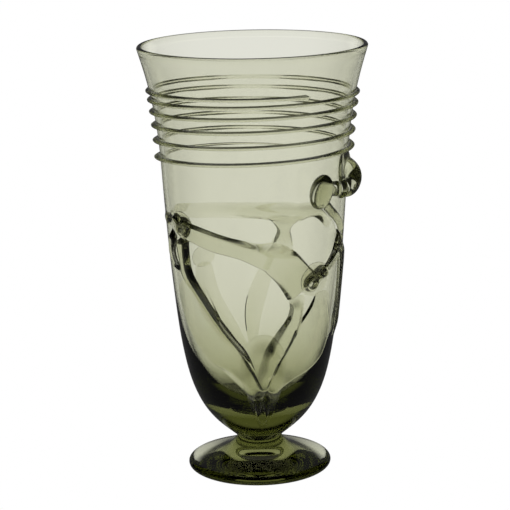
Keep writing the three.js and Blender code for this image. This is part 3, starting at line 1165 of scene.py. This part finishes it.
@dataclass(frozen=True)
class Studio:
    """Floor, light and camera.

    The glass is lit through its back. The depth of a direction says how far it points away from the
    photograph's camera, from -1 to 1, and what the glass passes on goes by it.
    """

    camera_back: float = mm(852.4)
    camera_height: float = mm(298.6)
    pitch: float = 13.337
    roll: float = 1.087
    yaw: float = 0.0314
    sensor: float = 36.0
    focal: float = 140.56
    nearest: float = 0.01
    furthest: float = 100.0
    dark_aside: float = 0.5
    white_behind: float = 0.8
    dark_before: float = 0.1
    pale_before: float = -0.4
    behind: float = 0.96
    before: float = 0.42
    dark: float = 0.02
    # Painted shadow on the floor's light under the foot: at the level below within the first radius, full
    # beyond the second, round a middle shifted towards the front
    painted_shadow_inner: float = mm(25)
    painted_shadow_outer: float = mm(30)
    painted_shadow_shift: float = mm(8)
    painted_shadow_level: float = 0.05
    near_end: float = mm(55)
    far_start: float = mm(90)
    # Painted shade on the floor's light where a ray falls steeply: dark at the first facing, full at the
    # second
    painted_shade_steep: float = 0.12
    level: float = 0.5
    mirrored_floor: float = 0.07
    mirrored_room: float = -0.88
    paint: str = "#F3F3F3"
    floor_radius: float = 6.0
    floor_corners: int = 96
    floor_drop: float = mm(0.2)
    bounces: int = 48
    mirror_bounces: int = 16

    def camera(self) -> None:
        """Put the camera where the photograph was taken from."""
        data = bpy.data.cameras.new("camera")
        data.lens = self.focal
        data.sensor_width = self.sensor
        data.clip_start = self.nearest
        data.clip_end = self.furthest
        camera = bpy.data.objects.new("camera", data)
        bpy.context.scene.collection.objects.link(camera)
        camera.location = (0, -self.camera_back, self.camera_height)
        look = Euler((math.radians(90 - self.pitch), 0, math.radians(self.yaw))).to_matrix()
        roll = Matrix.Rotation(math.radians(-self.roll), 3, "Z")
        camera.rotation_euler = (look @ roll).to_euler()
        bpy.context.scene.camera = camera

    def backlight(self, tree: bpy.types.NodeTree, depth: bpy.types.NodeSocket) -> bpy.types.NodeSocket:
        """Give the light that the glass passes on: white from behind, dark from the sides, pale from before.

        Args:
            tree: The node tree to add to.
            depth: The depth of the direction.

        Returns:
            The strength of the light from that direction.
        """
        behind = add_ramp(tree, depth, self.dark_aside, self.white_behind, self.dark, self.behind)
        before = add_ramp(tree, depth, self.dark_before, self.pale_before, self.dark, self.before)
        return add_sum(tree, Sum.MAXIMUM, behind, before)

    def strength(
        self, tree: bpy.types.NodeTree, seen: bpy.types.Node, mirrored: float, passed: bpy.types.NodeSocket,
    ) -> bpy.types.NodeSocket:
        """Show white to the camera, and to the glass what it passes on, plus a share of what it mirrors.

        Args:
            tree: The node tree to add to.
            seen: The node that tells the kinds of rays apart.
            mirrored: What mirrored rays see beyond the light that is passed on.
            passed: The light that is passed on.

        Returns:
            The strength of the light.
        """
        bent = seen.outputs["Is Transmission Ray"]
        bounced = add_sum(tree, Sum.SUBTRACT, seen.outputs["Is Glossy Ray"], bent, clamp=True)
        lit = add_sum(tree, Sum.MULTIPLY_ADD, bounced, mirrored, passed)
        return add_sum(tree, Sum.MAXIMUM, seen.outputs["Is Camera Ray"], lit)

    def floor_light(self, tree: bpy.types.NodeTree) -> bpy.types.NodeSocket:
        """Give the floor's light through the glass.

        It is dark under the foot, which is a painted shadow, and where a ray falls steeply, which is painted
        shade.
        It is white nearby, and further off it is as the room's is.

        Args:
            tree: The node tree to add to.

        Returns:
            The strength of the light.
        """
        slant = add_node(tree, "ShaderNodeLayerWeight", {"Blend": 0.5})
        # Painted shade: the floor's light is dark where a ray meets it steeply
        painted_steep_shade = add_ramp(tree, slant.outputs["Facing"], self.painted_shade_steep, self.level, self.dark, self.behind)
        place = add_node(tree, "ShaderNodeTexCoord").outputs["Object"]
        # Painted shadow: the floor's light is dark under the foot, round a middle shifted towards the front
        shift = {0: place, 1: (0, self.painted_shadow_shift, 0)}
        shifted = add_node(tree, "ShaderNodeVectorMath", shift, operation="ADD")
        length = add_node(tree, "ShaderNodeVectorMath", {0: shifted.outputs["Vector"]}, operation="LENGTH")
        distance = length.outputs["Value"]
        clear = add_ramp(tree, distance, self.painted_shadow_inner, self.painted_shadow_outer, self.painted_shadow_level, 1.0)
        heading = add_node(tree, "ShaderNodeVectorMath", {0: place}, operation="NORMALIZE")
        parts = add_node(tree, "ShaderNodeSeparateXYZ", {"Vector": heading.outputs["Vector"]})
        nearby = add_ramp(tree, distance, self.near_end, self.far_start, 1.0, 0.0)
        lit = add_sum(tree, Sum.MAXIMUM, self.backlight(tree, parts.outputs["Y"]), nearby)
        return add_sum(tree, Sum.MULTIPLY, add_sum(tree, Sum.MULTIPLY, painted_steep_shade, clear), lit)

    def floor_finish(self) -> bpy.types.Material:
        """Make the floor's material: white to the camera, white to the glass but for the painted shadow
        under the foot and the painted shade where rays fall steeply, and pale paint to the rest.

        Returns:
            The material.
        """
        material = bpy.data.materials.new("pale_floor")
        material.use_nodes = True
        tree = material.node_tree
        tree.nodes.clear()
        seen = add_node(tree, "ShaderNodeLightPath")
        passed = add_sum(tree, Sum.MULTIPLY, seen.outputs["Is Transmission Ray"], self.floor_light(tree))
        strength = self.strength(tree, seen, self.mirrored_floor, passed)
        bent = add_sum(tree, Sum.MAXIMUM, seen.outputs["Is Transmission Ray"], seen.outputs["Is Glossy Ray"])
        direct = add_sum(tree, Sum.MAXIMUM, seen.outputs["Is Camera Ray"], bent)
        paint = add_node(tree, "ShaderNodeBsdfDiffuse", {"Color": linear(self.paint)})
        glow = add_node(tree, "ShaderNodeEmission", {"Color": linear(WHITE), "Strength": strength})
        shown = add_node(tree, "ShaderNodeMixShader", {0: direct, 1: paint.outputs[0], 2: glow.outputs[0]})
        add_node(tree, "ShaderNodeOutputMaterial", {"Surface": shown.outputs[0]})
        return material

    def floor(self) -> None:
        """Lay a pale floor just under the foot."""
        mesh = bmesh.new()
        bmesh.ops.create_circle(mesh, cap_ends=True, segments=self.floor_corners, radius=self.floor_radius)
        bmesh.ops.translate(mesh, vec=(0, 0, -self.floor_drop), verts=mesh.verts)
        material = self.floor_finish()
        as_object("floor", mesh, [material])

    def world(self) -> None:
        """Light the glass from the room round it, which is white to the camera."""
        world = bpy.data.worlds.new("studio")
        bpy.context.scene.world = world
        world.use_nodes = True
        tree = world.node_tree
        tree.nodes.clear()
        place = add_node(tree, "ShaderNodeTexCoord")
        parts = add_node(tree, "ShaderNodeSeparateXYZ", {"Vector": place.outputs["Generated"]})
        seen = add_node(tree, "ShaderNodeLightPath")
        passed = self.backlight(tree, parts.outputs["Y"])
        strength = self.strength(tree, seen, self.mirrored_room, passed)
        sky = add_node(tree, "ShaderNodeBackground", {"Color": linear(WHITE), "Strength": strength})
        add_node(tree, "ShaderNodeOutputWorld", {"Surface": sky.outputs[0]})

    def build(self) -> None:
        """Set the stage."""
        self.camera()
        self.floor()
        self.world()
        scene = bpy.context.scene
        scene.view_settings.view_transform = "Standard"
        scene.cycles.max_bounces = self.bounces
        scene.cycles.transmission_bounces = self.bounces
        scene.cycles.glossy_bounces = self.mirror_bounces


LEFT_KNOT = Place(-54, 101.5)
RIGHT_KNOT = Place(42, 77.8)
BASE_KNOT = Place(4, 22.5)
BACK_KNOT = Place(-137, 75.7)
CLAW_ROOT = Place(73, 122.5)
CLAW_KNUCKLE = Place(37, 117.8)
EDGE_KNOT = Place(66, 92.7)
BROW_END = Place(50, 106)
BRIDGE_TOP = Place(17.5, 108.1)
BRIDGE_FOOT = Place(15.5, 89.4)
LEAF_TIP = Place(-57, 78.5)
TONGUE_TIP = Place(-128, 96)
SIDE_END = Place(80, 46)
BACK_CREST = Place(-196, 82)
BACK_BASE = Place(-176, 24)
# Millimetres from the point where the front trails end up to the middle of their lump
BASE_LUMP_ABOVE = 9.0


def trails(wall: Wall) -> list[Trail]:
    """List the trails, from the front to the back.

    Args:
        wall: The wall that they lie on.

    Returns:
        The trails.
    """
    return [
        Trail("upper_trail", wall, LEFT_KNOT, RIGHT_KNOT, (
            (0, -0.25, 0.83, 1), (0.11, -0.02, 0.85, 1), (0.25, 0.09, 0.89, 1), (0.37, 0.2, 0.84, 1),
            (0.48, 0.29, 0.89, 1), (0.58, 0.33, 1.12, 0.95), (0.66, 0.38, 1.44, 0.9),
            (0.76, 0.15, 1.52, 1.2), (0.85, -0.2, 1.59, 1.5), (0.94, -0.57, 1.77, 1.5),
        ), Section(
            left=((0, 1.3), (0.3, 1.3), (0.5, 3.6), (0.6, 5), (0.7, 5), (0.76, 2)),
            right=((0, 2.4), (0.5, 1.9), (0.65, 1.3), (0.8, 2.2)),
        ), fades=(0.08, 0.05)),
        Trail("brow_trail", wall, LEFT_KNOT, BROW_END, (
            (-0.07, 0.61, 0.53, 0.4), (0.15, 0.72, 0.66, 0.4), (0.31, 0.77, 0.68, 0.4),
            (0.45, 0.73, 0.71, 0.8), (0.55, 0.67, 0.73, 0.9), (0.7, 0.46, 0.9, 0.9),
            (0.77, 0.35, 0.86, 0.9), (0.87, 0.36, 0.67, 1), (0.96, 0.08, 0.66, 1),
            (1.05, -0.5, 0.81, 1),
        ), Section(
            left=((0, 4.5),),
            right=((0.3, 3.6), (0.38, 2.4), (0.52, 2.4), (0.58, 5), (0.64, 5), (0.7, 2.4)),
        ), fades=(0.2, 0.16)),
        Trail("bridge_trail", wall, BRIDGE_TOP, BRIDGE_FOOT, (
            (0, 0.06, 1.7, 0.5), (0.17, 0.06, 1.05, 0.9), (0.33, 0.06, 0.62, 1), (0.5, 0.06, 0.74, 1),
            (0.67, 0.06, 0.9, 0.6), (0.83, 0.03, 1.15, 0.3), (1, 0, 1.5, 0.1),
        ), Section(left=((0, 2.4),), right=((0, 1.3), (0.6, 1.3), (0.75, 5))), fades=(0.25, 0.3)),
        Trail("ridge_trail", wall, LEFT_KNOT, BASE_KNOT, (
            (0.06, -0.13, 0.79, 1.3), (0.11, -0.31, 0.63, 1.3), (0.18, -0.52, 0.53, 1.3),
            (0.24, -0.64, 0.54, 1.3), (0.31, -0.52, 0.43, 1.3), (0.38, -0.41, 0.44, 1.3),
            (0.47, -0.27, 0.38, 1.3), (0.57, -0.09, 0.39, 1.3), (0.63, 0.06, 0.31, 1.2),
            (0.69, 0.22, 0.27, 1.1), (0.76, 0.29, 0.2, 1), (0.82, 0.25, 0.15, 0.9),
        ), Section(left=((0, 1.5),), right=((0, 1.6),)), fades=(0.05, 0.15)),
        Trail("left_leaf", wall, LEAF_TIP, BASE_KNOT, (
            (0.02, 0.05, 1.5, 0.05), (0.1, -0.05, 2.05, 0.1), (0.21, -0.2, 2.15, 0.2),
            (0.32, -0.28, 2.05, 0.4), (0.43, -0.25, 1.8, 0.75), (0.53, -0.17, 1.66, 0.75),
            (0.63, -0.08, 1.4, 0.75), (0.74, -0.02, 1.1, 0.75), (0.85, -0.02, 0.84, 0.55),
            (0.95, -0.05, 0.65, 0.4),
        ), Section(left=((0, 1.5),), right=((0, 1.4), (0.6, 1.4), (0.7, 4))), fades=(0.15, 0.2)),
        Trail("left_strand", wall, LEFT_KNOT, LEAF_TIP, (
            (0.2, -0.57, 0.6, 0.6), (0.62, -0.88, 0.6, 0.6), (0.94, -0.21, 0.35, 0.6),
        ), fades=(0.2, 0.2)),
        Trail("inner_leaf", wall, RIGHT_KNOT, BASE_KNOT, (
            (0.15, -0.58, 0.79, 0.8), (0.22, -0.35, 0.73, 0.9), (0.3, -0.23, 0.76, 1),
            (0.38, -0.24, 0.83, 1), (0.49, -0.37, 0.91, 0.95), (0.59, -0.49, 0.88, 0.75),
            (0.69, -0.47, 0.81, 0.55), (0.8, -0.42, 0.65, 0.5), (0.9, -0.31, 0.49, 0.5),
        ), Section(
            left=((0, 4.5), (0.35, 3.4), (0.48, 1.4), (0.8, 1.4), (0.9, 4)),
            right=((0, 1.3), (0.35, 1.5), (0.6, 4)),
        ), fades=(0.16, 0.2)),
        Trail("outer_leaf", wall, RIGHT_KNOT, BASE_KNOT, (
            (0.06, 0.75, 0.9, 0.3), (0.18, 0.92, 1.5, 0.4), (0.29, 1.06, 2.1, 0.45),
            (0.41, 1.08, 2.3, 0.5), (0.54, 0.86, 1.95, 0.55), (0.66, 0.51, 1.38, 0.6),
            (0.78, 0.25, 0.86, 0.6), (0.89, 0.1, 0.49, 0.6),
        ), Section(left=((0.1, 4.5), (0.35, 3.2), (0.5, 1.5)), right=((0, 1.2),)), fades=(0.15, 0.2)),
        Trail("edge_trail", wall, EDGE_KNOT, RIGHT_KNOT, (
            (-0.14, 0.29, 1.61, 1), (0.13, 0.2, 0.73, 1), (0.38, 0.25, 0.49, 0.8),
            (0.68, 0.22, 0.45, 0.5), (0.95, 0.1, 0.35, 0.25),
        ), fades=(0.2, 0.4)),
        Trail("side_trail", wall, EDGE_KNOT, SIDE_END, (
            (0.06, 0.41, 0.6, 0.5), (0.34, 0.73, 0.7, 0.45), (0.72, 0.59, 0.8, 0.45), (1, 0, 0.5, 0.45),
        ), fades=(0.2, 0.2)),
        Trail("left_tongue", wall, LEFT_KNOT, TONGUE_TIP, (
            (0.13, -0.17, 0.6, 0.4), (0.51, -0.18, 0.5, 0.3), (0.78, -0.18, 0.6, 0.25),
            (1, 0, 0.4, 0.2),
        ), Section(left=((0, 4),), right=((0, 4),)), fades=(0.2, 0.3)),
        Trail("back_fan", wall, BACK_KNOT, BACK_BASE, (
            (0.04, 0.1, 1, 0.15), (0.27, 0.7, 1.5, 0.3), (0.44, 0.85, 1.6, 0.4), (0.68, 0.7, 1.3, 0.45),
            (1, 0.45, 0.6, 0.5),
        ), Section(left=((0, 8),), right=((0, 8),)), fades=(0.3, 0.2)),
        Trail("back_strand", wall, BACK_CREST, BACK_BASE, (
            (0, 0, 0.4, 0.1), (0.26, 0.2, 0.7, 0.15), (0.52, 0.4, 0.9, 0.25), (0.73, 0.35, 0.7, 0.3),
            (0.92, 0.1, 0.4, 0.2),
        ), Section(left=((0.35, 5), (0.5, 1.2), (0.8, 1.2), (0.9, 4)), right=((0, 6),)), fades=(0.3, 0.2)),
    ]


def knots(wall: Wall) -> list[Knot]:
    """List the knots.

    Args:
        wall: The wall that they lie on.

    Returns:
        The knots.
    """
    base = Place(BASE_KNOT.angle, BASE_KNOT.height + BASE_LUMP_ABOVE)
    return [
        Knot("left_knot", wall, LEFT_KNOT, around=15, tall=12, thickness=1.0, bumps=(
            Bump(4.0, -0.8, 6.5, 4.6, 0, 5.0, 0.8),
            Bump(-2.5, 3.0, 14, 2.6, -20, 2.0),
            Bump(-1.0, -3.0, 6, 3, -70, 1.0),
        )),
        Knot("right_knot", wall, RIGHT_KNOT, around=17, tall=15, thickness=1.0, bumps=(
            Bump(-3.0, -1.5, 7, 7, 0, 2.4, 2.0, 0.55),
            Bump(2.4, 2.6, 8.5, 3.8, 22, 4.0, 0.9),
        )),
        Knot("base_knot", wall, base, around=17, tall=48, thickness=0.3, taper=0.4, bumps=(
            Bump(0, 9, 13, 40, 0, 1.9, 1.0),
            Bump(-2.6, -10, 12, 2.4, 84, 1.0),
            Bump(1.4, -10, 10, 2.2, 94, 0.9),
            Bump(-0.6, -18.5, 7, 7, 0, 0.9, 2.0),
        )),
        Knot("back_knot", wall, BACK_KNOT, around=15, tall=9.5, thickness=0.3),
    ]


def stand_for(piece: bpy.types.Object, node: str) -> None:
    """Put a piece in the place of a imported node.

    Args:
        piece: The piece.
        node: Name of the node.
    """
    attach(piece, BODY)
    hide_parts(node)
    log.info("%s stands for %s", piece.name, node)


def main() -> None:
    """Build the glass and its stage."""
    logging.basicConfig(level=logging.INFO, format="%(message)s")
    glass = ForestGlass("forest_glass").build()
    wall = Wall(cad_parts["bowl"])
    stand_for(Bowl(wall).build(glass), "bowl")
    stand_for(Foot(wall).build(glass), "foot")
    stand_for(RimThread(wall).build(glass), "rim_thread")
    stand_for(Claw(wall, CLAW_ROOT, CLAW_KNUCKLE, EDGE_KNOT).build(glass), "claw")
    for piece in knots(wall) + trails(wall):
        stand_for(piece.build(glass), piece.name)
    Studio().build()


if __name__ == "__main__":
    main()
